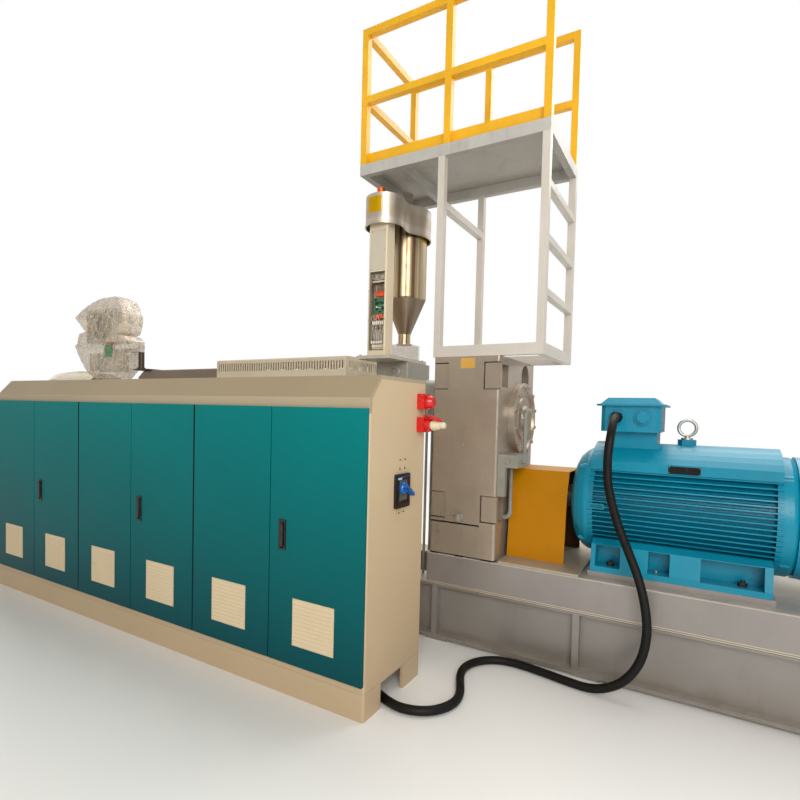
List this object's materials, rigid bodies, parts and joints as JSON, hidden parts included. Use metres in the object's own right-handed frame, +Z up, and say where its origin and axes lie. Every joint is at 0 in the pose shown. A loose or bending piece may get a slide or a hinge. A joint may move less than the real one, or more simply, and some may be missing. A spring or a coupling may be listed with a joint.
{
  "type": "plastic extruder",
  "caption": "Plastic extruder with motor, gearbox, covered barrel, feeder, service platform and a row of control cabinets with opening doors.",
  "frame": {"origin": "centre of the whole machine's footprint on the floor", "axes": "+X along the screw towards the motor, +Y away from the operator's side with the cabinets, +Z up"},
  "size_m": [8.366, 2.0393, 4.4703],
  "materials": {
    "frame_grey": "satin",
    "gear_grey": "satin",
    "guard_amber": "satin",
    "motor_blue": "satin",
    "machined_steel": "brushed",
    "stainless": "brushed",
    "plate_white": "satin",
    "cover_beige": "satin",
    "cover_grey": "satin",
    "cabinet_beige": "fine texture",
    "door_teal": "satin",
    "black_plastic": "matt",
    "lever_blue": "gloss",
    "socket_red": "gloss",
    "zinc_plate": "zinc plated",
    "board_green": "matt",
    "clear_plastic": "clear",
    "film_clear": "crinkled film",
    "hose_grey": "matt",
    "platform_light": "satin",
    "rail_yellow": "satin",
    "cable_black": "matt",
    "panel_grey": "satin",
    "plug_cream": "gloss",
    "post_dark": "satin"
  },
  "bodies": {
    "frame": {"base_beams": "frame_grey", "base_ties": "frame_grey", "base_box": "frame_grey", "gearbox_plinth": "gear_grey", "guard_plate": "plate_white", "gearbox_housing": "gear_grey", "bearing_cover": "gear_grey", "oil_pipes": "gear_grey", "coupling_guard": "guard_amber", "motor_frame": "motor_blue", "motor_shield": "motor_blue", "motor_rear_shield": "motor_blue", "fan_cowl": "motor_blue", "terminal_box": "motor_blue", "terminal_lid": "motor_blue", "cable_gland": "motor_blue", "lifting_eyes": "machined_steel", "feed_section": "machined_steel", "barrel": "machined_steel", "barrel_cover_rear": "cover_beige", "barrel_cover_front": "cover_grey", "barrel_stands": "frame_grey", "die_head": "machined_steel", "head_stand": "frame_grey", "head_wrap": "film_clear", "feeder_plate": "machined_steel", "feeder_column": "cover_beige", "control_board": "board_green", "feeder_hopper": "stainless", "sight_box": "clear_plastic", "feeder_cap": "stainless", "hose_stub": "hose_grey", "platform_frame": "platform_light", "platform_rungs": "platform_light", "platform_deck": "platform_light", "platform_rail": "rail_yellow", "cabinet_plinth": "cabinet_beige", "cabinet_back": "cabinet_beige", "cabinet_roof": "cabinet_beige", "cabinet_end": "cabinet_beige", "cabinet_walls": "cabinet_beige", "mounting_plates": "zinc_plate", "breaker_box": "black_plastic", "wall_sockets": "socket_red", "socket_plug": "plug_cream", "panel_post": "post_dark", "operator_panel": "panel_grey", "panel_film": "film_clear", "motor_cable": "cable_black"},
    "door_1": {"cabinet_door_1": "door_teal", "door_handle_1": "black_plastic"},
    "door_2": {"cabinet_door_2": "door_teal"},
    "door_3": {"cabinet_door_3": "door_teal", "door_handle_2": "black_plastic"},
    "door_4": {"cabinet_door_4": "door_teal"},
    "door_5": {"cabinet_door_5": "door_teal", "door_handle_3": "black_plastic"},
    "door_6": {"cabinet_door_6": "door_teal"},
    "coupling": {"drive_coupling": "machined_steel"},
    "lever": {"breaker_lever": "lever_blue"}
  },
  "joints": [
    {"name": "cabinet_door_1_hinge", "type": "hinge", "parent": "frame", "child": "door_1", "pos_m": [1.773, -1.00365, 0.891], "axis": [0, 0, 1], "range_deg": [0, 110]},
    {"name": "cabinet_door_2_hinge", "type": "hinge", "parent": "frame", "child": "door_2", "pos_m": [0.485, -1.00365, 0.891], "axis": [0, 0, -1], "range_deg": [0, 87]},
    {"name": "cabinet_door_3_hinge", "type": "hinge", "parent": "frame", "child": "door_3", "pos_m": [0.473, -1.00365, 0.891], "axis": [0, 0, 1], "range_deg": [0, 87]},
    {"name": "cabinet_door_4_hinge", "type": "hinge", "parent": "frame", "child": "door_4", "pos_m": [-0.815, -1.00365, 0.891], "axis": [0, 0, -1], "range_deg": [0, 87]},
    {"name": "cabinet_door_5_hinge", "type": "hinge", "parent": "frame", "child": "door_5", "pos_m": [-0.827, -1.00365, 0.891], "axis": [0, 0, 1], "range_deg": [0, 87]},
    {"name": "cabinet_door_6_hinge", "type": "hinge", "parent": "frame", "child": "door_6", "pos_m": [-2.115, -1.00365, 0.891], "axis": [0, 0, -1], "range_deg": [0, 110]},
    {"name": "drive_spin", "type": "hinge", "parent": "frame", "child": "coupling", "pos_m": [2.267, 0.57015, 1.056], "axis": [1, 0, 0], "continuous": true},
    {"name": "breaker_turn", "type": "hinge", "parent": "frame", "child": "lever", "pos_m": [1.819, -0.66985, 1.188], "axis": [1, 0, 0], "range_deg": [0, 90]}
  ]
}
